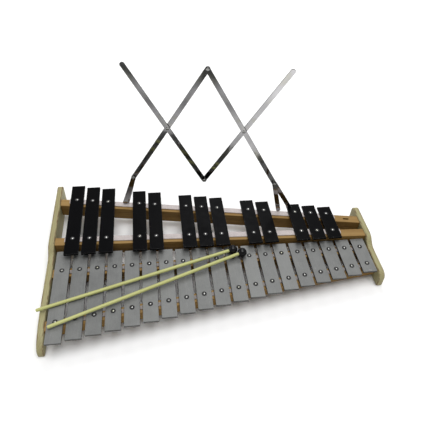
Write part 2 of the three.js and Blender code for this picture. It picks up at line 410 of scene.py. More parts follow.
def span(tree, value, low, high, from_low=0.3, from_high=0.7):
    """Stretches the middle of a noise to low...high."""
    made = add(tree, "ShaderNodeMapRange", {
        "Value": value, "From Min": from_low, "From Max": from_high, "To Min": low, "To Max": high,
    })
    return made.outputs["Result"]


def ramp(tree, value, *stops):
    """Colours by number, from stops of a position and a colour."""
    made = add(tree, "ShaderNodeValToRGB", {"Fac": value})
    elements = made.color_ramp.elements
    while len(elements) < len(stops):
        elements.new(0.5)
    for element, (position, colour) in zip(elements, stops):
        element.position = position
        element.color = (*colour, 1)
    return made.outputs["Color"]


def blend_colours(tree, factor, a, b, mode="MIX"):
    """From colour a towards colour b, each a socket or three numbers."""
    made = add(tree, "ShaderNodeMix", {"Factor": factor}, data_type="RGBA", blend_type=mode)
    for index, value in ((6, a), (7, b)):
        if isinstance(value, bpy.types.NodeSocket):
            tree.links.new(value, made.inputs[index])
        else:
            made.inputs[index].default_value = (*value, 1)
    return made.outputs[2]


def bump(tree, shader, height, distance, strength):
    """Lets the height, times the distance in metres, rise from the surface."""
    made = add(tree, "ShaderNodeBump", {"Height": height, "Distance": distance, "Strength": strength})
    tree.links.new(made.outputs["Normal"], shader.inputs["Normal"])


def paint(tree, shader, colour, roughness, **uniform):
    """Links the colour and the roughness. What is the same all over is set on the shader's own sockets."""
    tree.links.new(colour, shader.inputs["Base Color"])
    tree.links.new(roughness, shader.inputs["Roughness"])
    for key, value in uniform.items():
        shader.inputs[key.replace("_", " ")].default_value = value


# ---------------------------------------------------------------- materials

# A wave texture's rings are this far apart at a scale of 1
WAVE_PERIOD = 0.314

# How strongly a wood's growth rings show, for each metre between them
RING_CONTRAST = 120


def satin_aluminium():
    """Matt aluminium, rolled along the bar, faintly clouded, with fine handling scratches."""
    look, tree, shader = new_look("satin_aluminium")
    vector = local(tree, apart=BARS_APART)
    clouds = speckle(tree, vector, 55, 4)
    grains = speckle(tree, vector, 900, 2, 0.7)
    rolled = speckle(tree, local(tree, scale=(30, 1500, 1500), apart=BARS_APART), 1, 3)
    shade = add_up(
        tree,
        span(tree, clouds, -0.12, 0.12),
        span(tree, rolled, -0.1, 0.1),
        span(tree, grains, -0.12, 0.12),
        piece_number(tree),
        0.5,
    )
    colour = ramp(tree, shade, (0.15, (0.122, 0.125, 0.123)), (0.85, (0.222, 0.226, 0.22)))
    scratches = cell_edges(tree, local(tree, scale=(14, 230, 230), rotation=(0, 0, 0.5), apart=BARS_APART))
    handled = span(tree, speckle(tree, vector, 38, 2), 0.0, 0.3, 0.47, 0.6)
    thin = times(tree, span(tree, scratches, 1.0, 0.0, 0.0, 0.016), handled)
    colour = blend_colours(tree, thin, colour, (0.42, 0.42, 0.41))
    rough = add_up(tree, span(tree, rolled, 0.46, 0.58), span(tree, clouds, -0.04, 0.04))
    paint(tree, shader, colour, rough, Metallic=0.45)
    bump(tree, shader, maths(tree, rolled, thin, "SUBTRACT"), 0.02 * MM, 0.6)
    return look


def sawn_edge():
    """Upright faces and edges painted dark as shade: dull metal with fine lines across the thickness."""
    look, tree, shader = new_look("sawn_edge")
    lines = speckle(tree, local(tree, scale=(1800, 1800, 120), apart=BARS_APART), 1, 2)
    stains = speckle(tree, local(tree, apart=BARS_APART), 240, 3)
    colour = blend_colours(tree, span(tree, stains, 0.0, 1.0), (0.035, 0.035, 0.035), (0.12, 0.12, 0.115))
    paint(tree, shader, colour, span(tree, lines, 0.5, 0.7), Metallic=0.5)
    bump(tree, shader, lines, 0.03 * MM, 0.7)
    return look


def black_bar():
    """Black lacquer on metal: satin, with a faint orange peel and dust."""
    look, tree, shader = new_look("black_bar")
    vector = local(tree, apart=BARS_APART)
    clouds = speckle(tree, vector, 90, 4)
    dust = speckle(tree, vector, 1400, 2, 0.8)
    peel = speckle(tree, vector, 700, 2)
    colour = ramp(tree, dust, (0.55, (0.0022, 0.0022, 0.0026)), (0.85, (0.009, 0.009, 0.0095)))
    paint(tree, shader, colour, span(tree, clouds, 0.34, 0.46), Specular_IOR_Level=0.035)
    bump(tree, shader, peel, 0.02 * MM, 0.5)
    return look


def worn_lacquer():
    """The black bars' edges, with the metal showing where the lacquer has chipped."""
    look, tree, shader = new_look("worn_lacquer")
    chips = speckle(tree, local(tree, scale=(1, 2, 2), apart=BARS_APART), 330, 4, 0.7)
    metal = span(tree, chips, 0.0, 1.0, 0.6, 0.66)
    colour = blend_colours(tree, metal, (0.006, 0.006, 0.0065), (0.2, 0.2, 0.195))
    paint(tree, shader, colour, span(tree, chips, 0.5, 0.36), Specular_IOR_Level=0.12)
    bump(tree, shader, metal, 0.03 * MM, -0.6)
    return look


def wood(name, pale, dark, ring, fibre, rough, streak, turn=(0, 0, 0), heart=(0, 0.03, -0.06), coat=0.0,
         worn=None):
    """Wood with its grain along local X: growth rings round a far heart, fibres, streaks and short pores.

    ring is the distance between the rings, and fibre and streak say how strongly those show. The last
    argument is the colour of darker patches, painted shade. A piece of another tone is from another log.
    """
    look, tree, shader = new_look(name)
    other_log = add(tree, "ShaderNodeCombineXYZ", {
        "X": times(tree, piece_number(tree), 3.0),
        "Y": times(tree, piece_number(tree), 0.11),
    }).outputs["Vector"]
    base = shifted(tree, local(tree, rotation=turn), other_log)

    def stretched(scale, offset=(0, 0, 0)):
        made = add(tree, "ShaderNodeMapping", {"Vector": base, "Scale": scale, "Location": offset})
        return made.outputs["Vector"]

    rings = add(tree, "ShaderNodeTexWave", {
        "Vector": stretched((0.12, 1, 1), heart),
        "Scale": WAVE_PERIOD / ring,
        "Distortion": 5.0,
        "Detail": 3.0,
        "Detail Scale": 0.35,
        "Detail Roughness": 0.55,
    }, wave_type="RINGS", rings_direction="X", wave_profile="SAW").outputs["Fac"]
    late = span(tree, rings, 0.0, 1.0, 0.35, 1.0)
    fibres = speckle(tree, stretched((14, 900, 900)), 1, 4, 0.65)
    streaks = speckle(tree, stretched((5, 120, 120)), 1, 3)
    pores = span(tree, speckle(tree, stretched((110, 2600, 2600)), 1, 1, 0.4), 0.0, 1.0, 0.66, 0.74)
    grain = add_up(
        tree,
        times(tree, late, RING_CONTRAST * ring),
        times(tree, fibres, fibre),
        span(tree, streaks, 0.0, streak),
    )
    colour = ramp(tree, grain, (0.12, pale), (0.95, dark))
    colour = blend_colours(tree, times(tree, pores, 0.5), colour, tuple(0.55 * c for c in dark))
    clouds = speckle(tree, base, 14, 3)
    colour = blend_colours(tree, span(tree, clouds, 0.0, 0.2), colour, dark)
    # Darker patches, painted shade, where the piece is given their colour
    if worn:
        shade_patches = span(tree, speckle(tree, stretched((70, 170, 170)), 1, 4, 0.7), 0.0, 0.85, 0.44, 0.56)
        colour = blend_colours(tree, shade_patches, colour, worn)
    paint(tree, shader, colour, span(tree, fibres, rough - 0.06, rough + 0.08),
          Specular_IOR_Level=0.15, Coat_Weight=coat, Coat_Roughness=0.35)
    raised = maths(tree, fibres, late, "SUBTRACT")
    bump(tree, shader, maths(tree, raised, times(tree, pores, 1.5), "SUBTRACT"), 0.05 * MM, 0.6)
    return look


def board_wood(name, rough, worn=None):
    """The end boards' pale wood, with its grain along their length, which is local Y."""
    return wood(
        name, pale=(0.4, 0.385, 0.215), dark=(0.235, 0.195, 0.095), ring=2.2 * MM, fibre=0.55, rough=rough,
        streak=0.42, turn=(0, 0, QUARTER), heart=(0, 0.05, -0.12), worn=worn,
    )


def felt_look(name, low, high, strand_colour):
    """Pressed wool felt, matted and a little fluffy, with stray paler fibres."""
    look, tree, shader = new_look(name)
    vector = local(tree)
    mat = speckle(tree, vector, 900, 5, 0.75)
    tufts = speckle(tree, vector, 160, 4, 0.6)
    hairs = cell_edges(tree, local(tree, scale=(260, 1500, 900), rotation=(0.2, 0.1, 0.6)))
    strand = span(tree, hairs, 1.0, 0.0, 0.0, 0.06)
    colour = ramp(tree, times(tree, add_up(tree, mat, tufts), 0.5), (0.3, low), (0.7, high))
    colour = blend_colours(tree, times(tree, strand, 0.25), colour, strand_colour)
    paint(tree, shader, colour, span(tree, mat, 0.85, 1.0),
          Sheen_Weight=0.5, Sheen_Roughness=0.5, Specular_IOR_Level=0.1)
    bump(tree, shader, add_up(tree, mat, times(tree, strand, 0.5)), 0.35 * MM, 0.9)
    return look


def plated_steel(name, dark, bright, rough_low, rough_high):
    """Plated steel in uneven patches, olive-tinted here and there, with smears from fingers and thin
    lengthwise polishing lines.

    Along local X its brightness follows the piece's numbers: tone, plus x times lean, plus x squared times
    arch. On the stand's strips these numbers paint reflections, lighter and darker along each strip.
    """
    look, tree, shader = new_look(name)
    smears = speckle(tree, local(tree), 42, 4, 0.6)
    patches = speckle(tree, local(tree, location=(0.3, 0.1, 0.2)), 18, 2)
    lines = speckle(tree, local(tree, scale=(20, 2200, 2200)), 1, 3)
    # Along its length, the painted reflections that the numbers tone, lean and arch give
    lengthwise = add(tree, "ShaderNodeSeparateXYZ", {"Vector": local(tree)}).outputs["X"]
    squared = maths(tree, lengthwise, 2.0, "POWER")
    shade = add_up(
        tree,
        span(tree, patches, -0.13, 0.13),
        span(tree, lines, -0.05, 0.05),
        span(tree, smears, -0.08, 0.08),
        piece_number(tree),
        times(tree, lengthwise, piece_number(tree, "lean")),
        times(tree, squared, piece_number(tree, "arch")),
    )
    colour = ramp(tree, shade, (0.0, dark), (1.0, bright))
    # Olive-tinted patches, scattered over the whole piece
    olive_patches = span(tree, speckle(tree, local(tree, location=(0.7, 0.2, 0.5)), 26, 3), 0.0, 0.45, 0.5, 0.68)
    colour = blend_colours(tree, olive_patches, colour, (0.8, 0.78, 0.45), "MULTIPLY")
    rough = add_up(tree, span(tree, smears, rough_low, rough_high), span(tree, lines, -0.01, 0.01))
    paint(tree, shader, colour, rough, Metallic=1.0)
    bump(tree, shader, add_up(tree, lines, smears), 0.006 * MM, 0.4)
    return look


def rubber():
    """Black rubber, fine-grained, with a greyer bloom."""
    look, tree, shader = new_look("black_rubber")
    vector = local(tree)
    grain = speckle(tree, vector, 1600, 3, 0.7)
    bloom = speckle(tree, vector, 130, 3)
    colour = blend_colours(tree, span(tree, bloom, 0.0, 0.5), (0.011, 0.011, 0.012), (0.03, 0.03, 0.032))
    paint(tree, shader, colour, span(tree, grain, 0.55, 0.75), Specular_IOR_Level=0.3)
    bump(tree, shader, grain, 0.05 * MM, 0.6)
    return look


def black_gloss():
    """Moulded black plastic ball: glossy, with a faint orange peel and fine scuffs."""
    look, tree, shader = new_look("black_gloss")
    peel = speckle(tree, local(tree), 260, 3)
    scuffs = speckle(tree, local(tree, scale=(3, 1, 1)), 420, 4, 0.7)
    colour = blend_colours(
        tree, span(tree, scuffs, 0.0, 0.35), (0.003, 0.003, 0.0035), (0.009, 0.009, 0.0095),
    )
    paint(tree, shader, colour, span(tree, scuffs, 0.1, 0.2, 0.4, 0.75), Specular_IOR_Level=0.22)
    bump(tree, shader, peel, 0.03 * MM, 0.35)
    return look


def floor_look():
    """A matt white floor with the faintest clouding."""
    look, tree, shader = new_look("pale_floor")
    soft = speckle(tree, local(tree), 3, 3)
    colour = blend_colours(tree, soft, (0.9, 0.9, 0.9), (0.94, 0.94, 0.94))
    paint(tree, shader, colour, span(tree, soft, 0.85, 0.95), Specular_IOR_Level=0.0)
    return look


SATIN = satin_aluminium()
# Upright faces and edges of the aluminium bars and the stand's strips, painted darker as shade
SHADED_EDGE = sawn_edge()
BLACK = black_bar()
WORN = worn_lacquer()
PINE = wood(
    "pine", pale=(0.37, 0.243, 0.092), dark=(0.19, 0.104, 0.032), ring=2.6 * MM, fibre=0.45, rough=0.55,
    streak=0.38,
)
# A darker copy of the pine for the rails' upright faces, painted shade
SHADED_PINE = wood(
    "pine_side", pale=(0.3, 0.18, 0.054), dark=(0.135, 0.074, 0.02), ring=2.6 * MM, fibre=0.5, rough=0.6,
    streak=0.5,
)
PALE_WOOD = board_wood("pale_wood", rough=0.5)
# The boards' rounded rims, darkened in patches as painted shade
SHADED_RIM_WOOD = board_wood("rubbed_wood", rough=0.55, worn=(0.15, 0.095, 0.05))
STICK_WOOD = wood(
    "stick_wood", pale=(0.53, 0.55, 0.235), dark=(0.36, 0.36, 0.115), ring=1.4 * MM, fibre=0.5, rough=0.42,
    streak=0.28, heart=(0, 0.01, 0.004), coat=0.3,
)
FELT = felt_look("wool_felt", (0.4, 0.355, 0.345), (0.6, 0.54, 0.525), (0.86, 0.8, 0.78))
# A darker copy of the felt for the natural rails, painted shade under the bars
SHADED_FELT = felt_look("dusty_felt", (0.2, 0.175, 0.165), (0.32, 0.28, 0.265), (0.5, 0.46, 0.44))
CHROME = plated_steel("chrome_steel", (0.04, 0.04, 0.04), (0.62, 0.61, 0.62), 0.035, 0.1)
# A darker copy of the nickel heads, painted shade, for the natural bars' nails and the boards' screws
SHADED_HEADS = plated_steel("dull_heads", (0.12, 0.12, 0.117), (0.5, 0.5, 0.485), 0.2, 0.32)
NICKEL = plated_steel("nickel_heads", (0.25, 0.25, 0.24), (0.6, 0.6, 0.58), 0.15, 0.26)
RUBBER = rubber()
GLOSS = black_gloss()


# ---------------------------------------------------------------- bars, nails and washers

BAR_EDGE = 0.5 * MM

# How much paler or darker than the middle a bar may be
BAR_TONE = 0.1

NAIL_HEAD = 2.1 * MM
NAIL_SHANK = 1.15 * MM
NAIL_DEPTH = 3 * MM
NAIL_RISE = 0.96 * MM
NAIL_LEAN = 0.02
HEAD_ABOVE_BAR = 0.75 * MM

WASHER_RADIUS = 4.15 * MM
WASHER_BORE = 1.3 * MM
WASHER_THICK = 0.73 * MM
WASHER_EDGE = 0.3 * MM
WASHER_ABOVE_BAR = 0.05 * MM


def make_bar(bar):
    """A flat two-holed plate: aluminium with sides painted dark as shade, or black lacquer with chipped
    edges.
    """
    low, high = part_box(bar)
    centre = middle(bar)
    half = (high.y - low.y) / 2
    wide = (high.x - low.x) / 2
    sharp = is_sharp(bar)
    outline = [(half, 0), (half, wide), (-half, wide), (-half, 0)]
    holes = [(y - centre.y, BAR_HOLE) for _, y in nail_places(bar)]
    mesh = plate(bar, outline, holes, low.z - centre.z, high.z - centre.z)
    set_number(mesh, random.uniform(-BAR_TONE, BAR_TONE))
    # The aluminium bars' upright sides are painted darker, as shade
    if not sharp:
        second_look_on_sides(mesh)
    piece = place(bar.replace("bar_", "plate_"), mesh, axes(Vector((0, 1, 0)), UP, centre))
    soften_edges(piece, BAR_EDGE, look=1 if sharp else -1)
    looks = (BLACK, WORN) if sharp else (SATIN, SHADED_EDGE)
    dress(piece, looks, "frame", [bar])


def nail_profile(wood_top):
    """A round-headed nail, from its end in the wood to the top of its head.

    Here and in washer_profile() the heights are counted from the face of the bar that it holds.
    """
    end = wood_top - NAIL_DEPTH
    under = HEAD_ABOVE_BAR - 0.15 * MM
    return [
        (0, end),
        (NAIL_SHANK, end),
        (NAIL_SHANK, under),
        (NAIL_HEAD - 0.25 * MM, under),
        (NAIL_HEAD, HEAD_ABOVE_BAR),
    ] + dome(NAIL_HEAD, HEAD_ABOVE_BAR + 0.05 * MM, NAIL_RISE, 8)


def washer_profile():
    """A flat ring with a rounded outer edge, hollowed a little under the nail's head."""
    high = WASHER_ABOVE_BAR + WASHER_THICK
    flat = WASHER_RADIUS - WASHER_EDGE
    return (
        [(WASHER_BORE, WASHER_ABOVE_BAR)]
        + arc(flat, WASHER_ABOVE_BAR + WASHER_EDGE, WASHER_EDGE, -90, 0, 4)
        + arc(flat, high - WASHER_EDGE, WASHER_EDGE, 0, 90, 4)
        + [(WASHER_BORE, high - 0.1 * MM), (WASHER_BORE, WASHER_ABOVE_BAR)]
    )


def nails_of(rail):
    """(x, y, bar top) of each nail in a rail."""
    row = 0 if rail.endswith("front") else 1
    return [(*nail_places(bar)[row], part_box(bar)[1].z) for bar in bars_on(rail)]


def make_nails(rail):
    """A rail's nails, each leaning a little where it leaves its bar, and their rubber washers."""
    heads = bmesh.new()
    washers = bmesh.new()
    for x, y, bar_top in nails_of(rail):
        spin = Matrix.Rotation(random.uniform(0, 1), 4, "Z")
        lean = Matrix.Rotation(random.uniform(-NAIL_LEAN, NAIL_LEAN), 4, "X")
        at = Matrix.Translation((x, y, bar_top))
        lathe(nail_profile(rail_top(rail) - bar_top), 28, heads, at @ lean @ spin)
        lathe(washer_profile(), 32, washers, at)
    head_mesh = mesh_of(heads, f"nails_{rail}", sharp_angle=50)
    set_number(head_mesh, 0.5)
    # The natural bars' nails take the darker copy, painted shade
    look = SHADED_HEADS if rail.startswith("natural") else NICKEL
    dress(place(f"nails_{rail}", head_mesh), [look], "frame")
    washer_mesh = mesh_of(washers, f"washers_{rail}", sharp_angle=50)
    dress(place(f"washers_{rail}", washer_mesh), [RUBBER], "frame")


for bar_name in BARS:
    make_bar(bar_name)


# ---------------------------------------------------------------- rails and felt

RAIL_EDGE = 0.9 * MM

SLOT_LENGTH = 11 * MM
SLOT_WIDTH = 3.2 * MM
SLOT_DEPTH = 6 * MM

FELT_EDGE = 0.55 * MM
FELT_STEP = 1.6 * MM
FELT_ACROSS = 5

# A felt's top is pressed down by the first and rough by the second, and it rises by the third where it is
# further than the fourth from any bar
FELT_PRESSED = 0.12 * MM
FELT_NAP = 0.1 * MM
FELT_SWELL = 0.45 * MM
SWELL_WITHIN = 2 * MM
NAP_SCALE = 420

# A felt's width wavers by this share of itself
FELT_WAVER = 0.015
WAVER_SCALE = Vector((60, 3, 0))


def slot_cutter(inverse, run, top):
    """What comes out of the rear rail near its right end: a long slot with round ends."""
    mesh = plate("slot", round_ended(SLOT_LENGTH, SLOT_WIDTH, 8), [], -SLOT_DEPTH, SLOT_DEPTH)
    origin = working_origin()
    mesh.transform(inverse @ axes(run, UP, Vector((origin.x + SLOT_X, origin.y + SLOT_Y, top))))
    return mesh


def make_rail(rail):
    """A pine plank from board to board, with its row of nails."""
    left, right = rail_ends(rail)
    run = right - left
    top = rail_top(rail)
    centre = (left + right) / 2
    centre.z = (left.z + top) / 2
    matrix = axes(run, UP, centre)
    inverse = matrix.inverted()
    half = RAIL_WIDTH / 2
    corners = []
    for z in (left.z, top):
        for end, side in ((left, -1), (right, -1), (right, 1), (left, 1)):
            corners.append(inverse @ Vector((end.x, end.y + side * half, z)))
    mesh = mesh_of(hexahedron(corners), f"plank_{rail}")
    if rail == "accidental_rear":
        mesh = cut(mesh, slot_cutter(inverse, run, top))
    set_number(mesh, random.uniform(-1, 1))
    # The plank's upright faces take the darker pine, painted shade
    second_look_on_sides(mesh)
    piece = place(f"plank_{rail}", mesh, matrix)
    soften_edges(piece, RAIL_EDGE)
    dress(piece, (PINE, SHADED_PINE), "frame", [f"rail_{rail}"])
    make_nails(rail)


def felt_section(half, thick):
    """A felt strip's outline as (y, z): up its rear edge, over its top and down its front edge."""
    flat = half - FELT_EDGE
    top = thick - FELT_EDGE
    return (
        arc(flat, FELT_EDGE, FELT_EDGE, -90, 0, 3)
        + arc(flat, top, FELT_EDGE, 0, 90, 3)
        + [(flat - 2 * flat * i / FELT_ACROSS, thick) for i in range(1, FELT_ACROSS)]
        + arc(-flat, top, FELT_EDGE, 90, 180, 3)
        + arc(-flat, FELT_EDGE, FELT_EDGE, 180, 270, 3)
    )


def make_felt(rail):
    """A felt strip, held down under the bars and swelling a little between them."""
    node = f"felt_{rail}"
    points = corners_of(node)
    low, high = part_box(node)
    front_left, rear_left = y_span(points, low.x)
    left_y = (front_left + rear_left) / 2
    right_y = sum(y_span(points, high.x)) / 2
    half = (rear_left - front_left) / 2
    thick = high.z - low.z
    section = felt_section(half, thick)
    covered = [(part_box(bar)[0].x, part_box(bar)[1].x) for bar in bars_on(rail)]
    steps = int((high.x - low.x) / FELT_STEP)
    bm = bmesh.new()
    rings = []
    for x, run_y in zip(sweep(low.x, high.x, steps), sweep(left_y, right_y, steps)):
        uncovered = min(max(a - x, x - b) for a, b in covered)
        swell = FELT_SWELL * max(0.0, min(1.0, uncovered / SWELL_WITHIN))
        ring = []
        for y, z in section:
            wide = 1 + FELT_WAVER * noise.noise(Vector((x, y, 0)) * WAVER_SCALE + Vector((0, 7, 0)))
            lift = 0
            if z > thick / 2:
                nap = FELT_NAP * noise.noise(Vector((x, run_y + y, z)) * NAP_SCALE)
                lift = swell * (1 - (y / half) ** 2) + nap - FELT_PRESSED
            ring.append(bm.verts.new((x, run_y + y * wide, low.z + z + lift)))
        rings.append(ring)
    bridge(bm, rings)
    bm.faces.new(rings[0])
    bm.faces.new(rings[-1][::-1])
    mesh = mesh_of(bm, node, sharp_angle=60)
    # The natural rails' felt is painted darker, as shade under the bars
    look = SHADED_FELT if rail.startswith("natural") else FELT
    dress(place(f"strip_{node}", mesh), [look], "frame", [node])


for rail_name in RAILS:
    make_rail(rail_name)
    make_felt(rail_name)


# ---------------------------------------------------------------- end boards and their screws

BOARD_RIM = 2.2 * MM
BOARD_TONES = {"left": 0.4, "right": -0.7}

# How squarely a board's faces look out sideways: its flat faces more than the first number, and its rounded
# rims between the other two
FLAT = 0.999
RIM_FROM, RIM_TO = 0.1, 0.98

SCREW_HEAD = 3.7 * MM
SCREW_SHANK = 1.6 * MM
SCREW_CONE = 2.1 * MM
SCREW_LENGTH = 8.5 * MM
SCREW_SUNK = 0.3 * MM
UNDER_RIM = 0.35 * MM

# The crosshead's arms, below and above the head's face: the depth, half the length and half the width
CROSS_BOTTOM = (-1.5 * MM, 0.7 * MM, 0.2 * MM)
CROSS_TOP = (0.5 * MM, 2.3 * MM, 0.5 * MM)


def screw_profile():
    """A countersunk screw with its flat head at a height of nothing."""
    bevel = SCREW_HEAD - 0.1 * MM
    return [
        (0, -SCREW_LENGTH), (SCREW_SHANK, -SCREW_LENGTH), (SCREW_SHANK, -SCREW_CONE), (bevel, -UNDER_RIM),
        (SCREW_HEAD, -0.25 * MM), (SCREW_HEAD, -0.08 * MM), (bevel, 0), (0, 0),
    ]


def pocket_profile():
    """The countersunk hole round a screw."""
    bottom = SCREW_LENGTH + 0.5 * MM
    shank = SCREW_SHANK + CLEARANCE
    head = SCREW_HEAD + CLEARANCE
    mouth = 1 * MM
    return [
        (0, -bottom), (shank, -bottom), (shank, -SCREW_CONE - 0.2 * MM), (head, -UNDER_RIM),
        (head, mouth), (0, mouth),
    ]


def screw_mesh():
    """A countersunk screw with a crosshead, its flat head on local Z = 0 and its shank downwards."""
    screw = mesh_of(lathe(screw_profile(), 36), "screw", sharp_angle=35)
    for turn in (0, QUARTER):
        spin = Matrix.Rotation(turn, 4, "Z")
        corners = []
        for z, long_half, short_half in (CROSS_BOTTOM, CROSS_TOP):
            for x, y in ((-1, -1), (1, -1), (1, 1), (-1, 1)):
                corners.append(spin @ Vector((x * long_half, y * short_half, z)))
        screw = cut(screw, mesh_of(hexahedron(corners), "arm", smooth=False))
    return screw


def screw_places(side):
    """Where each rail's screw enters a board, as matrices with Z pointing out of the board's face."""
    low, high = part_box(f"end_board_{side}")
    end_index, face, outwards = (0, low.x, -1) if side == "left" else (1, high.x, 1)
    places = []
    for rail in RAILS:
        end = rail_ends(rail)[end_index]
        at = Vector((face - outwards * SCREW_SUNK, end.y, (end.z + rail_top(rail)) / 2))
        spin = Matrix.Rotation(random.uniform(0, QUARTER), 4, "Z")
        places.append(axes(UP, Vector((outwards, 0, 0)), at) @ spin)
    return places


def make_screws(side, places):
    """One board's screws, as one piece."""
    template = screw_mesh()
    joined = bmesh.new()
    for matrix in places:
        copy = template.copy()
        copy.transform(matrix)
        joined.from_mesh(copy)
    mesh = bpy.data.meshes.new(f"screws_{side}")
    joined.to_mesh(mesh)
    joined.free()
    mesh.set_sharp_from_angle(angle=math.radians(35))
    set_number(mesh, 0.4)
    # The screws take the heads' darker copy, painted shade
    dress(place(f"screws_{side}", mesh), [SHADED_HEADS], "frame")


def board_blank(node, centre):
    """The CAD's own board round the origin, with its flat faces whole again."""
    bm = bmesh.new()
    bm.from_mesh(NODES[node].data)
    bmesh.ops.remove_doubles(bm, verts=bm.verts, dist=1e-6)
    bmesh.ops.dissolve_limit(bm, angle_limit=math.radians(0.5), verts=bm.verts, edges=bm.edges)
    bmesh.ops.translate(bm, vec=-centre, verts=bm.verts)
    mesh = mesh_of(bm, node)
    old_normals = mesh.attributes.get("custom_normal")
    if old_normals:
        mesh.attributes.remove(old_normals)
    return mesh


def make_board(side):
    """The CAD's outline with its rims rounded over and darkened in patches as painted shade, and its screws
    sunk in.
    """
    node = f"end_board_{side}"
    centre = middle(node)
    places = screw_places(side)
    pockets = bmesh.new()
    for matrix in places:
        lathe(pocket_profile(), 36, pockets, Matrix.Translation(-centre) @ matrix)
    mesh = cut(board_blank(node, centre), mesh_of(pockets, "pockets"), rim=BOARD_RIM)
    # The rounded rims take the darker wood, painted shade
    for face in mesh.polygons:
        outwards = abs(face.normal.x)
        face.use_smooth = outwards < FLAT
        face.material_index = 1 if RIM_FROM < outwards < RIM_TO else 0
    mesh.set_sharp_from_angle(angle=math.radians(50))
    set_number(mesh, BOARD_TONES[side])
    board = place(f"board_{side}", mesh, Matrix.Translation(centre))
    dress(board, [PALE_WOOD, SHADED_RIM_WOOD], "frame", [node])
    make_screws(side, places)


for side_name in BOARD_TONES:
    make_board(side_name)


# ---------------------------------------------------------------- music stand

STRIP_EDGE = 0.35 * MM

# How far a rivet's middle may lie from a strip's middle line and still be on it
ON_STRIP = 0.6 * MM

RIVET_HEAD = 3 * MM
RIVET_SHANK = 1.45 * MM
RIVET_RISE = 1 * MM

# How bright each strip's plating is painted at its lower end, its middle and its upper end: painted
# reflections
PAINTED_REFLECTIONS = {
    "high_right": (0.05, 0.52, 1.05),
    "high_left": (0.0, 0.3, 0.06),
    "low_left": (0.0, 0.36, 0.0),
    "low_right": (0.6, 0.52, 0.02),
    "leg_left_1": (0.5, 0.34, 0.3),
    "leg_left_2": (0.5, 0.34, 0.3),
    "leg_right_1": (0.5, 0.4, 0.3),
    "leg_right_2": (0.4, 0.3, 0.2),
}


def stand_normal():
    """Square to the stand's plane, towards the front: all strips lie in planes across it."""
    spread = middle("stand_rivet_cross_right") - middle("stand_rivet_cross_left")
    along = Vector((spread.x, spread.y, 0)).normalized()
    return along.cross(UP)


NORMAL = stand_normal()


def strip_box(points):
    """A strip's own box: its middle, its three axes and its size along each of them.

    The axes are the strip's length, upwards, its width and its thickness.
    """
    top = max(points, key=lambda p: p.z)
    bottom = min(points, key=lambda p: p.z)
    centre = (top + bottom) / 2
    along = top - bottom
    for _ in range(4):
        tip = max(points, key=lambda p: (p - centre).dot(along))
        tail = min(points, key=lambda p: (p - centre).dot(along))
        along = tip - tail
        along = (along - NORMAL * along.dot(NORMAL)).normalized()
    directions = (along, along.cross(NORMAL).normalized(), NORMAL)
    spans = [[(p - centre).dot(d) for p in points] for d in directions]
    for d, values in zip(directions, spans):
        centre = centre + d * (min(values) + max(values)) / 2
    return centre, directions, [max(values) - min(values) for values in spans]


def make_strip(node):
    """A flat steel strip with round ends and a hole for each rivet on it, with painted reflections along
    its length.
    """
    centre, (along, across, _), (length, width, thick) = strip_box(corners_of(node))
    holes = []
    for rivet in RIVETS:
        offset = middle(rivet) - centre
        x = offset.dot(along)
        if abs(offset.dot(across)) < ON_STRIP and abs(x) < (length - width) / 2 + ON_STRIP:
            holes.append((x, RIVET_HOLE))
    mesh = plate(node, round_ended(length, width, 10), holes, -thick / 2, thick / 2)
    # The painted reflections' brightness at the strip's lower end, middle and upper end
    lower, between, upper = PAINTED_REFLECTIONS[node.replace("stand_", "").replace("strip_", "")]
    set_number(mesh, between)
    set_number(mesh, (upper - lower) / length, "lean")
    set_number(mesh, 2 * (upper + lower - 2 * between) / length ** 2, "arch")
    # The strip's upright sides and rounded edges are painted darker, as shade
    second_look_on_sides(mesh)
    piece = place(node.replace("stand_", "steel_"), mesh, axes(along, NORMAL, centre))
    soften_edges(piece, STRIP_EDGE, look=1)
    dress(piece, [CHROME, SHADED_EDGE], NODE_BODY[node], [node])


def make_rivet(node):
    """A rivet with a round head on each side of the strips that it joins."""
    centre = middle(node)
    reach = max(abs((p - centre).dot(NORMAL)) for p in corners_of(node))
    under = reach - RIVET_RISE
    front = [(RIVET_SHANK, under), (RIVET_HEAD - 0.15 * MM, under)]
    front += dome(RIVET_HEAD, under + 0.1 * MM, RIVET_RISE - 0.1 * MM, 7)
    rear = [(r, -h) for r, h in reversed(front)]
    mesh = mesh_of(lathe(rear + front, 32), node, sharp_angle=50)
    set_number(mesh, 0.1)
    piece = place(node.replace("stand_", "steel_"), mesh, axes(UP, NORMAL, centre))
    dress(piece, [NICKEL], NODE_BODY[node], [node])


for strip_name in STRIPS:
    make_strip(strip_name)
for rivet_name in RIVETS:
    make_rivet(rivet_name)


# ---------------------------------------------------------------- mallets

STICK_RADIUS = 3 * MM
TAIL_RADIUS = 0.93 * STICK_RADIUS
TAIL_ROUND = 1.9 * MM
TAIL_CORNERS = 12
NECK_LENGTH = 8 * MM
BALL_RADIUS = 8.5 * MM
BORE_END = 0.5 * MM
STICK_TONES = {"a": 0.2, "b": -0.5}


def mallet_line(name):
    """The middle of a mallet's ball, and the direction to it from the stick's tail."""
    centre = middle(f"mallet_{name}_head")
    points = corners_of(f"mallet_{name}_stick")
    tail_ring = sorted(points, key=lambda p: -(p - centre).length)[:TAIL_CORNERS]
    tail = sum(tail_ring, Vector()) / len(tail_ring)
    return centre, (centre - tail).normalized()


def stick_profile(back, front):
    """A stick from its rounded tail to its end in the ball, a little slimmer at both ends."""
    tail = arc(TAIL_RADIUS - TAIL_ROUND, back + TAIL_ROUND, TAIL_ROUND, -90, 0, 6)
    grip = [(STICK_RADIUS, back + (front - back) * share) for share in (0.3, 0.5, 0.7)]
    neck = [(0.97 * STICK_RADIUS, front - NECK_LENGTH), (0.95 * STICK_RADIUS, front)]
    return [(0, back)] + tail + grip + neck + [(0, front)]


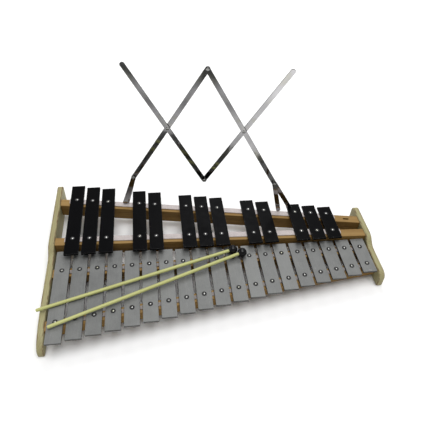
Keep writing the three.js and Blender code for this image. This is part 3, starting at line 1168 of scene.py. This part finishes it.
def ball_profile():
    """A ball round the origin with a bore for the stick, from the bore's end to the ball's far side."""
    bore = STICK_RADIUS + CLEARANCE
    mouth = math.degrees(math.asin(bore / BALL_RADIUS))
    outside = arc(0, 0, BALL_RADIUS, mouth - 90, 90, 22)[:-1]
    lip = outside[0][1]
    inside = [(0, BORE_END), (bore, BORE_END), (bore, lip + 0.3 * MM), (bore + 0.15 * MM, lip + 0.05 * MM)]
    return inside + outside[1:] + [(0, BALL_RADIUS)]


def turned_along_x(profile, sides, name, sharp_angle):
    """What the lathe turns round its Z, laid along local X, the way that the wood's grain runs."""
    bm = lathe(profile, sides)
    bmesh.ops.rotate(bm, cent=(0, 0, 0), matrix=Matrix.Rotation(QUARTER, 3, "Y"), verts=bm.verts)
    return mesh_of(bm, name, sharp_angle=sharp_angle)


def make_mallet(name):
    """A wooden stick and the plastic ball on its end."""
    head_node = f"mallet_{name}_head"
    stick_node = f"mallet_{name}_stick"
    body = NODE_BODY[head_node]
    centre, axis = mallet_line(name)
    matrix = axes(axis, UP, centre)
    reach = [(p - centre).dot(axis) for p in corners_of(stick_node)]
    profile = stick_profile(min(reach) + 0.5 * MM, max(reach))
    stick_mesh = turned_along_x(profile, 28, stick_node, 50)
    set_number(stick_mesh, STICK_TONES[name])
    dress(place(f"wood_{stick_node}", stick_mesh, matrix), [STICK_WOOD], body, [stick_node])
    ball_mesh = turned_along_x(ball_profile(), 40, head_node, 45)
    dress(place(f"ball_{head_node}", ball_mesh, matrix), [GLOSS], body, [head_node])


for mallet_name in STICK_TONES:
    make_mallet(mallet_name)


# ---------------------------------------------------------------- floor, light and camera

FLOOR_HALF = 12
FLOOR_DROP = 0.02 * MM

# The photograph's view: where its camera stands from the working origin, and its angles in degrees. It
# looks back, a little to the right and well down, and is turned a little about its own line of sight.
CAMERA_FROM_ORIGIN = Vector((-97.5, -551.4, 695.9)) * MM
AZIMUTH = 8.87
DOWNWARDS = 44.28
ROLL = 2.98
SENSOR_WIDTH = 36
LENS = 40.61


def make_floor():
    """A wide floor, just under the boards' feet."""
    bm = bmesh.new()
    bmesh.ops.create_grid(bm, x_segments=8, y_segments=8, size=FLOOR_HALF)
    mesh = mesh_of(bm, "floor")
    mesh.materials.append(floor_look())
    place("floor", mesh, Matrix.Translation((0, 0, -FLOOR_DROP)))


def make_world():
    """Pale at the horizon, greyer overhead, as in a small white studio."""
    world = bpy.data.worlds.new("studio")
    bpy.context.scene.world = world
    world.use_nodes = True
    tree = world.node_tree
    background = tree.nodes["Background"]
    direction = add(tree, "ShaderNodeTexCoord").outputs["Generated"]
    height = add(tree, "ShaderNodeSeparateXYZ", {"Vector": direction}).outputs["Z"]
    sky = ramp(tree, height, (0.0, (0.65, 0.65, 0.65)), (0.15, (0.5, 0.5, 0.5)), (0.6, (0.34, 0.34, 0.34)))
    tree.links.new(sky, background.inputs["Color"])
    background.inputs["Strength"].default_value = 1.0


def new_light(name, kind, at, energy):
    """A lamp that looks from a point towards the object, and isn't seen itself."""
    data = bpy.data.lights.new(name, kind)
    data.energy = energy
    lamp = bpy.data.objects.new(name, data)
    bpy.context.scene.collection.objects.link(lamp)
    lamp.location = at
    lamp.visible_camera = False
    lamp.rotation_mode = "QUATERNION"
    lamp.rotation_quaternion = Vector(at).to_track_quat("Z", "Y")
    return data


def make_lights():
    """A broad soft light overhead, a low window on the left and a softbox high behind the right half."""
    overhead = new_light("overhead", "SUN", at=(0.15, -0.2, 2), energy=2.25)
    overhead.angle = math.radians(48)
    window = new_light("window", "AREA", at=(-1.9, 0.25, 0.55), energy=3.5)
    window.shape = "RECTANGLE"
    window.size = 0.7
    window.size_y = 0.5
    softbox = new_light("softbox", "AREA", at=(0.3, 1.22, 1.5), energy=8.5)
    softbox.size = 0.7


def make_camera():
    """The camera of the photograph."""
    azimuth, downwards, roll = (math.radians(angle) for angle in (AZIMUTH, DOWNWARDS, ROLL))
    forward = Vector((
        math.sin(azimuth) * math.cos(downwards),
        math.cos(azimuth) * math.cos(downwards),
        -math.sin(downwards),
    ))
    level = Vector((math.cos(azimuth), -math.sin(azimuth), 0))
    upright = level.cross(forward)
    right = math.cos(roll) * level + math.sin(roll) * upright
    turn = Matrix((right, right.cross(forward), -forward)).transposed().to_4x4()
    data = bpy.data.cameras.new("camera")
    data.sensor_width = SENSOR_WIDTH
    data.lens = LENS
    data.clip_start, data.clip_end = 0.02, 60
    camera = bpy.data.objects.new("camera", data)
    bpy.context.scene.collection.objects.link(camera)
    camera.matrix_world = Matrix.Translation(working_origin() + CAMERA_FROM_ORIGIN) @ turn
    bpy.context.scene.camera = camera


make_floor()
make_world()
make_lights()
make_camera()
bpy.context.scene.view_settings.view_transform = "Standard"
